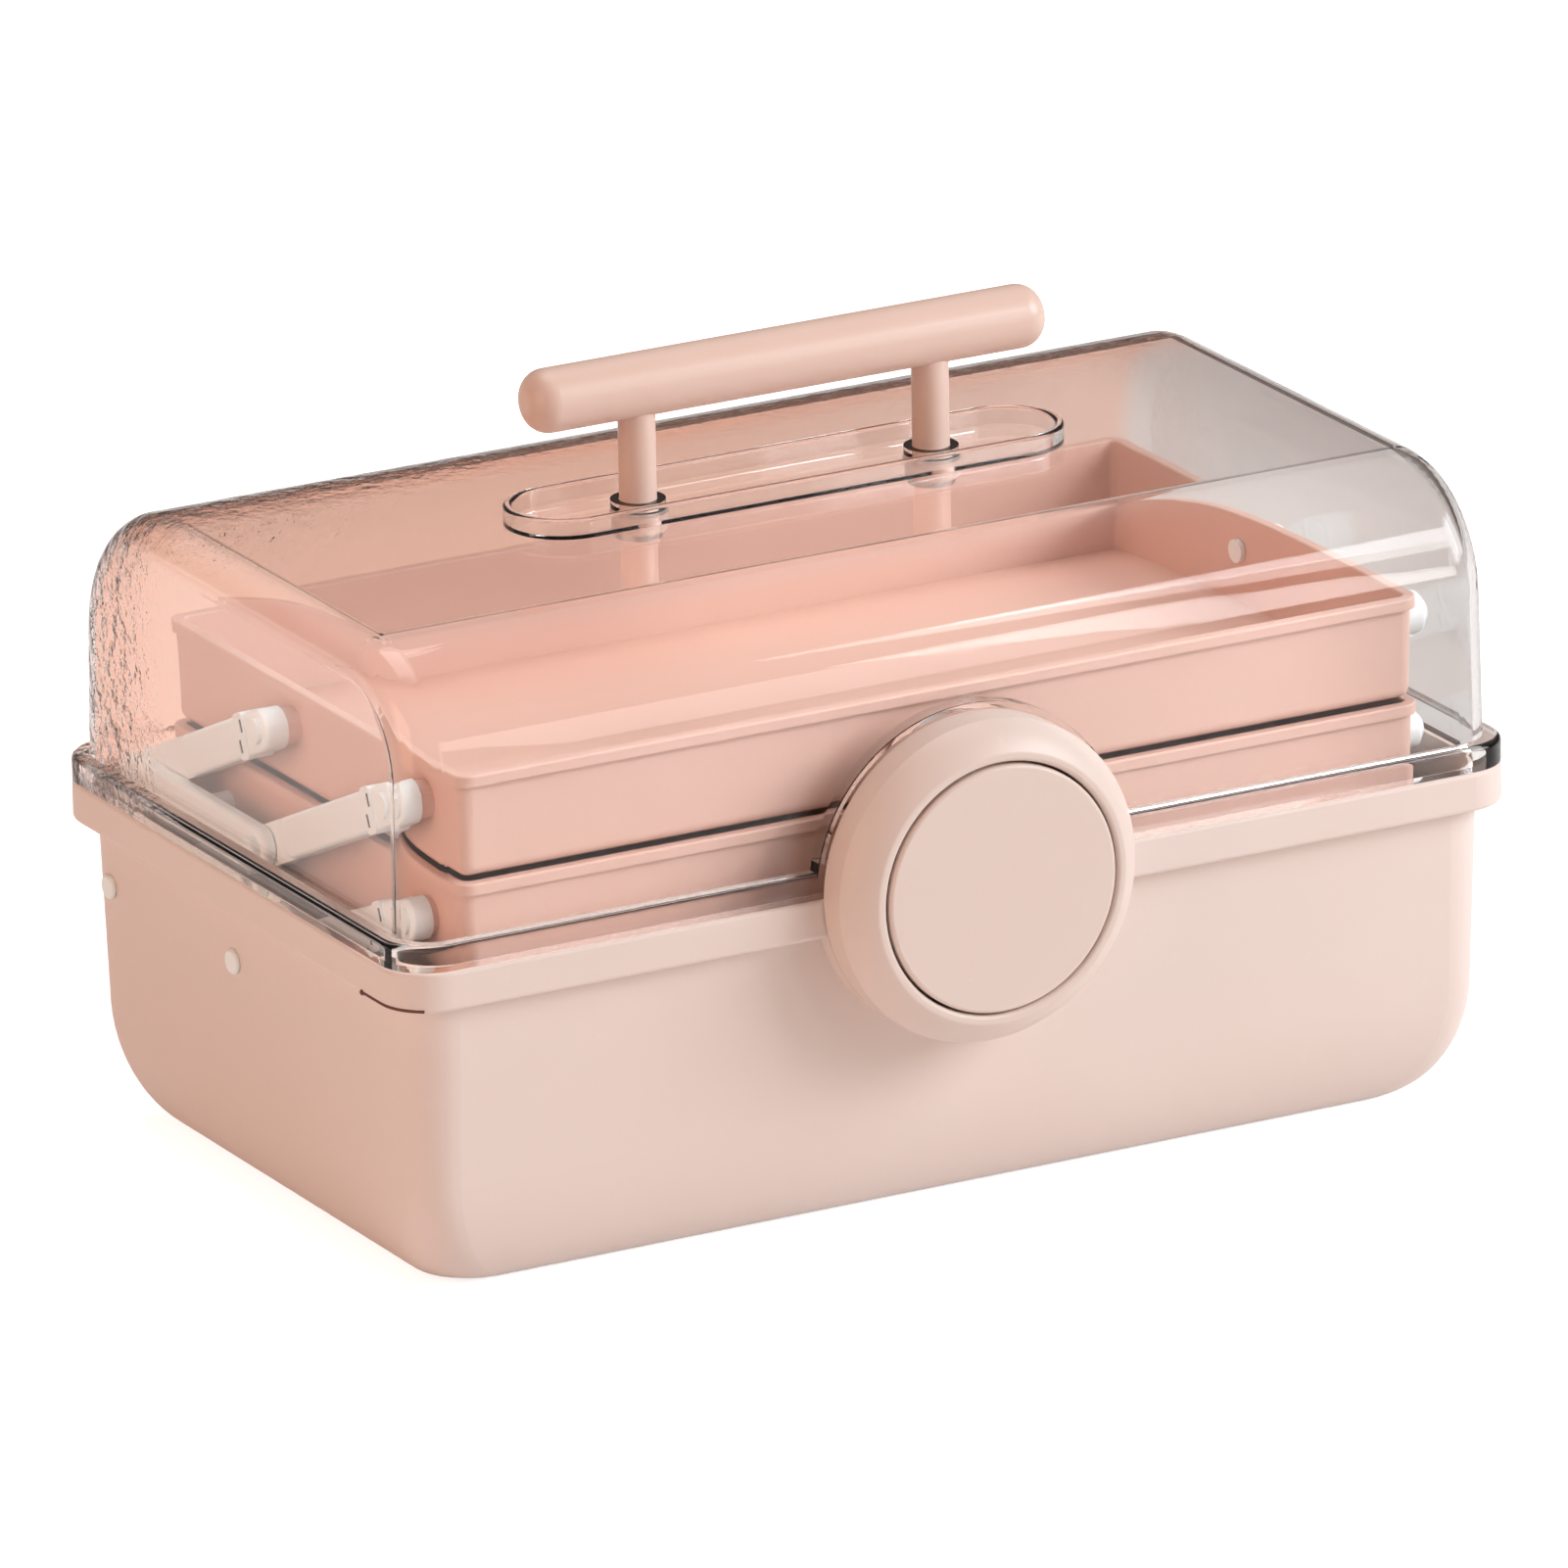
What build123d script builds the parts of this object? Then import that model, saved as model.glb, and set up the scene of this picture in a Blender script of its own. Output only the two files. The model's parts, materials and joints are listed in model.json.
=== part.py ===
from build123d import *
from math import atan2, cos, degrees, hypot, radians, sin, tan
import os

# Three-layer folding storage case: a tub, a clear hinged lid and two trays on folding arms.
# Millimetres, +Z up, the front faces -Y. The origin is the centre of the tub's underside.

os.makedirs("parts", exist_ok=True)

# Shared clearances
overrun = 2.0
press_gap = 0.02
running_gap = 0.05
sliding_gap = 0.1
part_gap = 0.3

# Tub
rim_length = 280.0
rim_depth = 168.0
rim_corner = 11.5
rim_overhang = 4.0
rim_band = 9.2
rim_edge_round = 1.2
parting_height = 79.0
tub_wall = 2.4
tub_floor = 2.6
tub_draft = 2.0
tub_corner = 11.5
tub_foot_height = 27.0
tub_foot_inset = 13.0
tub_foot_corner = 14.0
tub_foot_steps = 6
tub_length = rim_length - 2 * rim_overhang
tub_depth = rim_depth - 2 * rim_overhang

# Lid
lid_height = 67.5
lid_wall = 2.0
lid_overhang = 3.6
lid_flange = 6.0
lid_flange_round = 1.4
lid_draft = 0.8
lid_front_round = 29.0
lid_rear_round = 33.0
lid_end_round = 9.0
lid_seat_gap = 0.2
lid_base = parting_height + lid_seat_gap
lid_top = parting_height + lid_height

# Lid hinges
hinge_knuckle_radius = 3.5
hinge_offset = 4.0
hinge_pin_radius = 1.5
hinge_pin_head_radius = 2.4
hinge_pin_head = 1.2
hinge_knuckle_length = 20.0
hinge_ear_length = 9.0
hinge_inset = 60.0
hinge_spread = rim_length - 2 * hinge_inset
hinge_y = rim_depth / 2 + hinge_offset
hinge_z = parting_height

# Trays
tray_end_room = 19.0
tray_setback = 11.0
tray_rear_room = 22.0
tray_height = 23.6
tray_spacing = 0.9
tray_wall = 1.8
tray_corner = 4.5
tray_draft = 1.5
tray_foot_round = 2.6
tray_lip = 1.0
tray_lip_height = 2.6
tray_lip_round = 0.5
middle_tray_sink = 8.6
tray_length = rim_length - 2 * tray_end_room
tray_depth = rim_depth - tray_setback - tray_rear_room
middle_tray_base = parting_height - middle_tray_sink
upper_tray_base = middle_tray_base + tray_height + tray_spacing
tray_y = tray_setback + tray_depth / 2 - rim_depth / 2

# Folding arms: pivots in (y, z), one arm pair per tray at each end
pivot_inset = 15.0
middle_pivot_height = 12.6
upper_pivot_height = 14.6
upper_pivot_shift = 1.0
rear_pivot_inset = 17.0
arm_drop = 27.0
arm_width = 9.6
arm_plate = 2.8
arm_thick = 5.6
arm_edge_round = 1.2
arm_end_gap = 0.6
arm_layer_gap = 0.35
collar_length = 4.2
collar_proud = 0.5
collar_setback = 5.2
collar_slot = (1.1, 3.0)
collar_slot_depth = 0.7
pivot_pin_radius = 2.0
pin_head_radius = 2.9
pin_head = 1.1
pin_knob = 2.4
pin_dome_round = 0.9
pivot_boss_radius = 4.2
stud_radius = 3.0
stud_drop = 1.0
stud_share = 0.55
step_share_front = 1.5
step_share_rear = 1.3
screw_radius = 1.25
screw_head_radius = 2.6
screw_head = 1.6

# Layers of the arms, counted outwards from the tray's end
layer_one = tray_length / 2 + arm_end_gap
layer_two = layer_one + arm_plate + arm_layer_gap
layer_three = layer_two + arm_plate + arm_layer_gap
upper_body = layer_two - (arm_thick - arm_plate) / 2
carrier_face = layer_three + arm_plate
arm_spacing = (tray_depth - pivot_inset) / 2
middle_pivot = (tray_y - tray_depth / 2 + pivot_inset, middle_tray_base + middle_pivot_height)
upper_pivot = (middle_pivot[0] + upper_pivot_shift, upper_tray_base + upper_pivot_height)
rear_middle_pivot = (middle_pivot[0] + arm_spacing, middle_pivot[1])
carrier_pivot = (rear_middle_pivot[0] + arm_spacing, middle_pivot[1])
rear_base_pivot = (rim_depth / 2 - rear_pivot_inset, middle_pivot[1] - arm_drop)
base_pivot = (rear_base_pivot[0] - arm_spacing, rear_base_pivot[1])
rear_upper_pivot = (upper_pivot[0] + arm_spacing, upper_pivot[1])
stud_place = (rear_middle_pivot[0] + stud_share * arm_spacing, middle_pivot[1] - stud_drop)

# Push latch, round, centred on the parting line
latch_radius = 37.0
latch_depth = 14.0
latch_shoulder = 7.0
latch_face_radius = 30.9
latch_face_round = 1.0
latch_bore_radius = 28.9
latch_web = 3.0
latch_tab_margin = 1.6
latch_tab_wall = 1.6
latch_screw_angle = 60.0
latch_screw_radius = 32.6
latch_screw_length = 14.0
button_gap = 0.6
button_thick = 4.0
button_proud = 0.4
button_round = 0.9
button_travel = 2.5
button_stem_radius = 4.0
hub_wall = 1.5
hub_length = 4.0
spring_wire_radius = 0.45
spring_turns = 3.0
hook_width = 10.0
hook_plate = 2.0
hook_pivot_height = 17.0
hook_pin_radius = 1.0
hook_tail = 8.2
hook_rise = 5.0
hook_ear = 2.0
hook_ear_half = 2.6
hook_pivot_setback = 3.9
rib_height = 1.2
keeper_depth = 2.0

# Lift handle
handle_length = 129.5
handle_radius = 7.25
handle_end_round = 5.6
handle_finger_gap = 21.25
handle_setback = -2.0
post_radius = 4.2
post_spread = 74.0
recess_length = 134.0
recess_width = 23.0
recess_depth = 4.0
recess_rise = 4.5
recess_round = 0.75
guide_radius = 6.2
guide_height = 1.8
foot_radius = 6.4
foot_height = 4.0
foot_screw_length = 12.0

# Planes and places that several pieces share
front_y = -rim_depth / 2
latch_back = front_y - part_gap
latch_front = latch_back - latch_depth
web_front = latch_back - latch_web
button_front = latch_front - button_proud
button_back = button_front + button_thick
hub_front = web_front - hub_length
hook_pivot_y = web_front - hook_pivot_setback
hook_pivot_z = parting_height + hook_pivot_height
handle_axis_height = lid_top + handle_finger_gap + handle_radius
recess_rim = lid_top + recess_rise
recess_floor = recess_rim - recess_depth
recess_under = lid_top - lid_wall
latch_axis = Axis((0, 0, parting_height), (0, 1, 0))
sides = (-1, 1)


def save(node, name):
    node.part.label = name
    export_step(node.part, f"parts/{name}.step")


def rod_x(x_from, x_to, place, radius, mode=Mode.ADD):
    """A round bar along X between two x values, centred on place = (y, z)."""
    with Locations(((x_from + x_to) / 2, place[0], place[1])):
        Cylinder(radius, abs(x_to - x_from), rotation=(0, 90, 0), mode=mode)


def rod_y(y_from, y_to, place, radius, mode=Mode.ADD):
    """A round bar along Y between two y values, centred on place = (x, z)."""
    with Locations((place[0], (y_from + y_to) / 2, place[1])):
        Cylinder(radius, abs(y_to - y_from), rotation=(90, 0, 0), mode=mode)


def block(low, high, mode=Mode.ADD):
    """A box between two corners."""
    middle = tuple((a + b) / 2 for a, b in zip(low, high))
    size = [b - a for a, b in zip(low, high)]
    with Locations(middle):
        Box(*size, mode=mode)


def tub_half_length(height):
    """Half the tub's outer length at a height, with its draft."""
    return tub_length / 2 - (parting_height - height) * tan(radians(tub_draft))


def tray_half_length(base, height):
    """Half a tray's outer length at a height, with its draft."""
    return tray_length / 2 - tray_lip - (base + tray_height - height) * tan(radians(tray_draft))


def half_disc(radius, upper):
    """Half of a disc about the latch centre, above or below the parting plane."""
    with Locations((0, parting_height)):
        Circle(radius)
    shift = -radius if upper else radius
    with Locations((0, parting_height + shift)):
        Rectangle(2 * (radius + overrun), 2 * radius, mode=Mode.SUBTRACT)


def hinge_leaf(x_from, x_to, z_from, z_to):
    """A knuckle round the hinge axis with a web that reaches into the rim or flange."""
    rod_x(x_from, x_to, (hinge_y, hinge_z), hinge_knuckle_radius)
    block((x_from, rim_depth / 2 - rim_overhang / 2, z_from), (x_to, hinge_y, z_to))


def tub_form(inset, floor):
    """The tub's outside drawn in by inset: drafted walls over a foot that curves in to the height of floor."""
    lean = tan(radians(tub_draft))
    upper_corner = tub_corner - inset - (parting_height - tub_foot_height) * lean
    with BuildPart() as form:
        with BuildSketch(Plane.XY.offset(parting_height)):
            RectangleRounded(tub_length - 2 * inset, tub_depth - 2 * inset, tub_corner - inset)
        extrude(amount=tub_foot_height - parting_height, taper=tub_draft)
        for step in range(tub_foot_steps + 1):
            turn = radians(90 * step / tub_foot_steps)
            height = tub_foot_height - (tub_foot_height - floor) * sin(turn)
            drawn_in = inset + (parting_height - height) * lean + tub_foot_inset * (1 - cos(turn))
            corner = upper_corner * cos(turn) + (tub_foot_corner - inset) * (1 - cos(turn))
            with BuildSketch(Plane.XY.offset(height)):
                RectangleRounded(tub_length - 2 * drawn_in, tub_depth - 2 * drawn_in, corner)
        loft()
    return form.part


# Tub with rim, latch seat, hinge ears and pivot bosses
tub_outside = tub_form(0, 0)
tub_hollow = tub_form(tub_wall, tub_floor)
with BuildPart() as base_tub:
    add(tub_outside)
    with BuildSketch(Plane.XY.offset(parting_height)):
        RectangleRounded(rim_length, rim_depth, rim_corner)
    extrude(amount=-rim_band)
    level_faces = base_tub.faces().filter_by(Axis.Z).sort_by(Axis.Z)
    fillet(level_faces[-1].outer_wire().edges(), rim_edge_round)
    level_faces = base_tub.faces().filter_by(Axis.Z).sort_by(Axis.Z)
    fillet(level_faces[1].outer_wire().edges(), rim_edge_round)
    with BuildSketch(Plane.XZ.offset(-front_y)):
        half_disc(latch_radius, upper=False)
    extrude(amount=-(rim_overhang + tub_wall))
    add(tub_hollow, mode=Mode.SUBTRACT)
    for side in sides:
        for pivot in (base_pivot, rear_base_pivot):
            wall_x = tub_half_length(pivot[1])
            thickness = arm_thick if pivot is base_pivot else arm_plate
            boss_x = layer_one + thickness + arm_layer_gap
            rod_x(side * boss_x, side * (wall_x - tub_wall / 2), pivot, pivot_boss_radius)
            rod_x(side * layer_one, side * (wall_x + overrun), pivot, pivot_pin_radius + press_gap, Mode.SUBTRACT)
        for flank in sides:
            ear_x = side * hinge_spread / 2 + flank * (hinge_knuckle_length / 2 + part_gap)
            far_x = ear_x + flank * hinge_ear_length
            hinge_leaf(min(ear_x, far_x), max(ear_x, far_x), hinge_z - hinge_knuckle_radius, hinge_z)
            rod_x(ear_x - flank * overrun / 2, far_x + flank * overrun, (hinge_y, hinge_z),
                  hinge_pin_radius + press_gap, Mode.SUBTRACT)
    for angle in (180 + latch_screw_angle, 360 - latch_screw_angle):
        spot = Vector(latch_screw_radius, 0).rotate(Axis.Z, angle)
        rod_y(front_y - overrun, front_y + rim_overhang + tub_foot_inset,
              (spot.X, parting_height + spot.Y), screw_radius + sliding_gap, Mode.SUBTRACT)
save(base_tub, "base_tub")


def lid_form(inset, bottom):
    """The lid's outside drawn in by inset: rounded front, back and ends."""
    half_depth = rim_depth / 2 - lid_overhang - inset
    half_length = rim_length / 2 - lid_overhang - inset
    top = lid_top - inset
    lean = (top - bottom) * tan(radians(lid_draft))
    with BuildPart() as form:
        with BuildSketch(Plane.YZ):
            with BuildLine():
                Polyline((-half_depth, bottom), (-half_depth + lean, top), (half_depth - lean, top),
                         (half_depth, bottom), close=True)
            make_face()
        extrude(amount=half_length, both=True)
        long_edges = form.edges().filter_by(Axis.X).group_by(Axis.Z)[-1].sort_by(Axis.Y)
        fillet(long_edges[0], lid_front_round - inset)
        long_edges = form.edges().filter_by(Axis.X).sort_by(Axis.Y)
        fillet(long_edges.filter_by(lambda e: e.center().Z > top - lid_wall)[-1], lid_rear_round - inset)
        with BuildSketch(Plane.XZ):
            with BuildLine():
                Polyline((-half_length, bottom), (-half_length + lean, top), (half_length - lean, top),
                         (half_length, bottom), close=True)
            make_face()
        extrude(amount=rim_depth, both=True, mode=Mode.INTERSECT)
        for end in (0, -1):
            end_face = form.faces().sort_by(Axis.X)[end]
            fillet(end_face.edges().filter_by(lambda e: e.center().Z > bottom + lid_wall), lid_end_round - inset)
    return form.part


# Clear lid with flange, latch tab, handle recess and hinge knuckles
lid_outside = lid_form(0, lid_base)
lid_hollow = lid_form(lid_wall, lid_base - overrun)
with BuildPart() as lid_shell:
    with BuildSketch(Plane.XY.offset(lid_base)):
        RectangleRounded(rim_length, rim_depth, rim_corner)
    extrude(amount=lid_flange - lid_seat_gap)
    fillet(lid_shell.faces().sort_by(Axis.Z)[-1].edges(), lid_flange_round)
    add(lid_outside)
    with BuildSketch(Plane.XZ.offset(-front_y)):
        half_disc(latch_radius + latch_tab_margin, upper=True)
        with Locations((0, parting_height)):
            Rectangle(rim_length, 2 * lid_seat_gap, mode=Mode.SUBTRACT)
    extrude(amount=-(lid_overhang + lid_wall))
    add(lid_hollow, mode=Mode.SUBTRACT)
    with BuildSketch(Plane.XZ.offset(-front_y - latch_tab_wall)):
        half_disc(latch_radius + latch_tab_margin - latch_tab_wall, upper=True)
        with Locations((0, parting_height)):
            Rectangle(rim_length, 2 * (lid_flange + latch_tab_wall), mode=Mode.SUBTRACT)
    extrude(amount=-(lid_overhang + 2 * lid_wall), mode=Mode.SUBTRACT)
    with BuildSketch(Plane.XY.offset(lid_top - lid_wall / 2)):
        with Locations((0, handle_setback)):
            SlotOverall(recess_length + 2 * lid_wall, recess_width + 2 * lid_wall)
    extrude(amount=recess_rise + lid_wall / 2)
    with BuildSketch(Plane.XY.offset(recess_floor)):
        with Locations((0, handle_setback)):
            SlotOverall(recess_length, recess_width)
    extrude(amount=recess_depth + overrun, mode=Mode.SUBTRACT)
    rim_face = lid_shell.faces().filter_by(Axis.Z).sort_by(Axis.Z)[-1]
    fillet(rim_face.edges(), recess_round)
    for side in sides:
        with Locations((side * post_spread / 2, handle_setback, recess_floor)):
            Cylinder(post_radius + sliding_gap, 2 * (lid_wall + overrun), mode=Mode.SUBTRACT)
        knuckle_x = side * hinge_spread / 2
        reach = hinge_knuckle_length / 2
        hinge_leaf(knuckle_x - reach, knuckle_x + reach, lid_base, hinge_z + hinge_knuckle_radius)
        rod_x(knuckle_x - reach - overrun, knuckle_x + reach + overrun, (hinge_y, hinge_z),
              hinge_pin_radius + running_gap, Mode.SUBTRACT)
    keeper_low = hook_pivot_z + hook_rise - 2 * hook_plate
    block((-hook_width / 2 - part_gap, front_y - overrun, keeper_low),
          (hook_width / 2 + part_gap, front_y + keeper_depth, parting_height + latch_bore_radius), Mode.SUBTRACT)
save(lid_shell, "lid_shell")

# Hinge pins, one for each hinge, with a head at the outer end
for side, name in zip(sides, ("hinge_pin_left", "hinge_pin_right")):
    reach = hinge_knuckle_length / 2 + part_gap + hinge_ear_length
    centre = side * hinge_spread / 2
    with BuildPart() as hinge_pin:
        rod_x(centre - reach, centre + reach, (hinge_y, hinge_z), hinge_pin_radius)
        head_x = centre + side * reach
        rod_x(head_x, head_x + side * hinge_pin_head, (hinge_y, hinge_z), hinge_pin_head_radius)
    save(hinge_pin, name)

# Latch housing with back web, guide hub and the ears of the hook
with BuildPart() as latch_ring:
    with BuildSketch(Plane.YZ):
        with BuildLine():
            hub_radius = button_stem_radius + sliding_gap
            Polyline((latch_back, parting_height + hub_radius),
                     (latch_back, parting_height + latch_radius),
                     (latch_back - latch_shoulder, parting_height + latch_radius))
            RadiusArc((latch_back - latch_shoulder, parting_height + latch_radius),
                      (latch_front, parting_height + latch_face_radius), -latch_depth)
            Polyline((latch_front, parting_height + latch_face_radius),
                     (latch_front, parting_height + latch_bore_radius),
                     (web_front, parting_height + latch_bore_radius),
                     (web_front, parting_height + hub_radius + hub_wall),
                     (hub_front, parting_height + hub_radius + hub_wall),
                     (hub_front, parting_height + hub_radius),
                     (latch_back, parting_height + hub_radius))
        make_face()
    revolve(axis=latch_axis)
    rim_edges = latch_ring.edges().filter_by(GeomType.CIRCLE)
    rim_edges = rim_edges.filter_by(lambda e: abs(e.center().Y - latch_front) < press_gap)
    fillet(rim_edges, latch_face_round)
    for side in sides:
        ear_x = side * (hook_width / 2 + part_gap)
        far_x = ear_x + side * hook_ear
        block((min(ear_x, far_x), hook_pivot_y - hook_ear_half, hook_pivot_z - hook_ear_half),
              (max(ear_x, far_x), web_front + latch_web / 2, hook_pivot_z + hook_ear_half))
    rod_x(-hook_width, hook_width, (hook_pivot_y, hook_pivot_z), hook_pin_radius + press_gap, Mode.SUBTRACT)
    block((-hook_width / 2 - part_gap, web_front - part_gap, keeper_low),
          (hook_width / 2 + part_gap, latch_back + overrun, parting_height + latch_bore_radius), Mode.SUBTRACT)
    for angle in (180 + latch_screw_angle, 360 - latch_screw_angle):
        spot = Vector(latch_screw_radius, 0).rotate(Axis.Z, angle)
        rod_y(latch_back - latch_screw_length / 2 - overrun, latch_back + overrun,
              (spot.X, parting_height + spot.Y), screw_radius + press_gap, Mode.SUBTRACT)
save(latch_ring, "latch_ring")

# Screws of the latch housing, driven from inside the tub
with BuildPart() as latch_screws:
    for angle in (180 + latch_screw_angle, 360 - latch_screw_angle):
        spot = Vector(latch_screw_radius, 0).rotate(Axis.Z, angle)
        place = (spot.X, parting_height + spot.Y)
        drop = parting_height - place[1]
        seat_y = -tub_depth / 2 + tub_wall + (drop + screw_head_radius) * tan(radians(tub_draft)) + press_gap
        rod_y(seat_y, latch_back - latch_screw_length / 2, place, screw_radius)
        rod_y(seat_y, seat_y + screw_head, place, screw_head_radius)
save(latch_screws, "latch_screws")

# Push button with its stem, the rib that works the hook and a pocket that clears the hook's ears
with BuildPart() as latch_button:
    rod_y(button_front, button_back, (0, parting_height), latch_bore_radius - button_gap)
    face_edges = latch_button.edges().filter_by(GeomType.CIRCLE).group_by(Axis.Y)[0]
    fillet(face_edges, button_round)
    rod_y(button_back - button_thick / 2, web_front + part_gap / 2, (0, parting_height), button_stem_radius)
    rib_low = hook_pivot_z - hook_tail
    block((-hook_width / 4, button_back - button_thick / 2, rib_low),
          (hook_width / 4, hook_pivot_y - hook_plate / 2 - part_gap, rib_low + rib_height))
    pocket_half = hook_width / 2 + hook_ear + 3 * part_gap
    pocket_floor = hook_pivot_y - hook_ear_half - button_travel - 2 * part_gap
    block((-pocket_half, pocket_floor, hook_pivot_z - hook_ear_half - 2 * part_gap),
          (pocket_half, button_back + overrun, hook_pivot_z + hook_rise + 2 * part_gap), Mode.SUBTRACT)
save(latch_button, "latch_button")

# Return spring round the hub, between the web and the button
spring_radius = hub_radius + hub_wall + sliding_gap + 2 * spring_wire_radius
spring_start = web_front - spring_wire_radius
spring_span = web_front - button_back - 2 * spring_wire_radius - part_gap
with BuildPart() as latch_spring:
    with BuildLine() as coil:
        Helix(spring_span / spring_turns, spring_span, spring_radius,
              center=(0, spring_start - sliding_gap, parting_height), direction=(0, -1, 0))
    with BuildSketch(Plane(coil.line @ 0, z_dir=coil.line % 0)):
        Circle(spring_wire_radius)
    sweep(is_frenet=True)
save(latch_spring, "latch_spring")

# Hook lever: the button pushes its tail back, and its nose swings forward out of the keeper
with BuildPart() as latch_hook:
    front, back = hook_pivot_y - hook_plate / 2, hook_pivot_y + hook_plate / 2
    block((-hook_width / 2, front, hook_pivot_z - hook_tail), (hook_width / 2, back, hook_pivot_z + hook_rise))
    block((-hook_width / 2, front, hook_pivot_z + hook_rise - hook_plate),
          (hook_width / 2, latch_back - part_gap, hook_pivot_z + hook_rise))
    rod_x(-hook_width / 2, hook_width / 2, (hook_pivot_y, hook_pivot_z), hook_pin_radius + hook_plate / 2)
    rod_x(-hook_width, hook_width, (hook_pivot_y, hook_pivot_z), hook_pin_radius + running_gap, Mode.SUBTRACT)
save(latch_hook, "latch_hook")

# Pin of the hook, held in the ears of the housing
with BuildPart() as hook_pin:
    reach = hook_width / 2 + part_gap + hook_ear
    rod_x(-reach, reach, (hook_pivot_y, hook_pivot_z), hook_pin_radius)
save(hook_pin, "hook_pin")


def build_tray(base, pivots, arm_face, holes, name):
    """An open tray with a lip, pivot bosses that reach to the arms, and the holes of its end walls."""
    top = base + tray_height
    length, depth = tray_length - 2 * tray_lip, tray_depth - 2 * tray_lip
    plane = Plane.XY.offset(top).move(Location((0, tray_y, 0)))
    with BuildPart() as tray:
        with BuildSketch(plane):
            RectangleRounded(length, depth, tray_corner - tray_lip)
        extrude(amount=-tray_height, taper=tray_draft)
        fillet(tray.faces().sort_by(Axis.Z)[0].edges(), tray_foot_round)
        with BuildSketch(plane):
            RectangleRounded(tray_length, tray_depth, tray_corner)
        extrude(amount=-tray_lip_height)
        with BuildSketch(plane):
            RectangleRounded(length - 2 * tray_wall, depth - 2 * tray_wall, tray_corner - tray_lip - tray_wall)
        extrude(amount=-(tray_height - tray_wall), taper=tray_draft, mode=Mode.SUBTRACT)
        fillet(tray.faces().sort_by(Axis.Z)[-1].edges(), tray_lip_round)
        for side in sides:
            for pivot in pivots:
                wall_x = tray_half_length(base, pivot[1]) - tray_wall / 2
                rod_x(side * wall_x, side * (arm_face - arm_layer_gap), pivot, pivot_boss_radius)
        for hole in pivots:
            rod_x(-arm_face, arm_face, hole, pivot_pin_radius + press_gap, Mode.SUBTRACT)
        for hole in holes:
            rod_x(-arm_face, arm_face, hole, screw_radius + sliding_gap, Mode.SUBTRACT)
    save(tray, name)


# Both trays. The middle one also takes the screws of the carrier bars
build_tray(upper_tray_base, (upper_pivot, rear_upper_pivot), upper_body, (), "upper_tray")
build_tray(middle_tray_base, (middle_pivot, rear_middle_pivot), layer_one, (stud_place,), "middle_tray")


def arm_outline(low, high):
    """A round-ended bar between two pivots given in (y, z)."""
    run, rise = high[0] - low[0], high[1] - low[1]
    with Locations(((low[0] + high[0]) / 2, (low[1] + high[1]) / 2)):
        SlotCenterToCenter(hypot(run, rise), arm_width, rotation=degrees(atan2(rise, run)))


def along(low, high, distance):
    """The point a distance from high, towards low."""
    share = distance / hypot(high[0] - low[0], high[1] - low[1])
    return (high[0] + share * (low[0] - high[0]), high[1] + share * (low[1] - high[1]))


def build_arm(low, high, side, x_plate, name, x_body=0, step=0):
    """A flat bar from low to high. With x_body it is as thick as arm_thick past step, and has a collar."""
    length = hypot(high[0] - low[0], high[1] - low[1])
    inner = along(low, high, length - step)
    angle = degrees(atan2(high[1] - low[1], high[0] - low[0]))
    band = along(low, high, collar_setback + collar_length / 2)
    with BuildPart() as arm:
        with BuildSketch(Plane.YZ.offset(side * x_plate)):
            arm_outline(low, high)
        extrude(amount=side * arm_plate)
        if x_body:
            with BuildSketch(Plane.YZ.offset(side * x_body)):
                arm_outline(inner, high)
            extrude(amount=side * arm_thick)
            outer_face = arm.faces().sort_by(Axis.X)[-1 if side > 0 else 0]
            fillet(outer_face.edges(), arm_edge_round)
            with BuildSketch(Plane.YZ.offset(side * x_body)):
                with Locations(band):
                    RectangleRounded(collar_length, arm_width + 2 * collar_proud, collar_length / 4, rotation=angle)
            extrude(amount=side * (arm_thick + collar_proud))
            with BuildSketch(Plane.YZ.offset(side * (x_body + arm_thick + collar_proud))):
                with Locations(band):
                    with GridLocations(0, arm_width / 2, 1, 2):
                        Rectangle(*collar_slot, rotation=angle)
            extrude(amount=-side * collar_slot_depth, mode=Mode.SUBTRACT)
        for pivot in (low, high):
            rod_x(side * (layer_one - overrun), side * (layer_three + overrun), pivot,
                  pivot_pin_radius + running_gap, Mode.SUBTRACT)
    save(arm, name)


# Arms at both ends. Where three pieces share a pin the arms are thin and lie side by side
carrier_step = arm_width / tan(atan2(upper_pivot[1] - middle_pivot[1], rear_middle_pivot[0] - upper_pivot[0]))
for side, end in zip(sides, ("left", "right")):
    build_arm(base_pivot, middle_pivot, side, layer_one, f"lower_front_arm_{end}", layer_one)
    build_arm(rear_base_pivot, rear_middle_pivot, side, layer_one, f"lower_rear_arm_{end}")
    build_arm(rear_middle_pivot, upper_pivot, side, layer_two, f"upper_front_arm_{end}", upper_body,
              step_share_front * arm_width)
    build_arm(carrier_pivot, rear_upper_pivot, side, layer_two, f"upper_rear_arm_{end}", upper_body,
              step_share_rear * carrier_step)
    with BuildPart() as carrier:
        with BuildSketch(Plane.YZ.offset(side * layer_three)):
            arm_outline(rear_middle_pivot, carrier_pivot)
        extrude(amount=side * arm_plate)
        outer_face = carrier.faces().sort_by(Axis.X)[-1 if side > 0 else 0]
        fillet(outer_face.edges(), arm_edge_round)
        wall_x = tray_half_length(middle_tray_base, stud_place[1] + stud_radius) + press_gap
        rod_x(side * wall_x, side * (layer_three + arm_plate / 2), stud_place, stud_radius)
        for pivot in (rear_middle_pivot, carrier_pivot):
            rod_x(side * (layer_three - overrun), side * (layer_three + arm_plate + overrun), pivot,
                  pivot_pin_radius + press_gap, Mode.SUBTRACT)
        rod_x(side * (wall_x - overrun), side * layer_three, stud_place, screw_radius + press_gap, Mode.SUBTRACT)
    save(carrier, f"carrier_bar_{end}")

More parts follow.
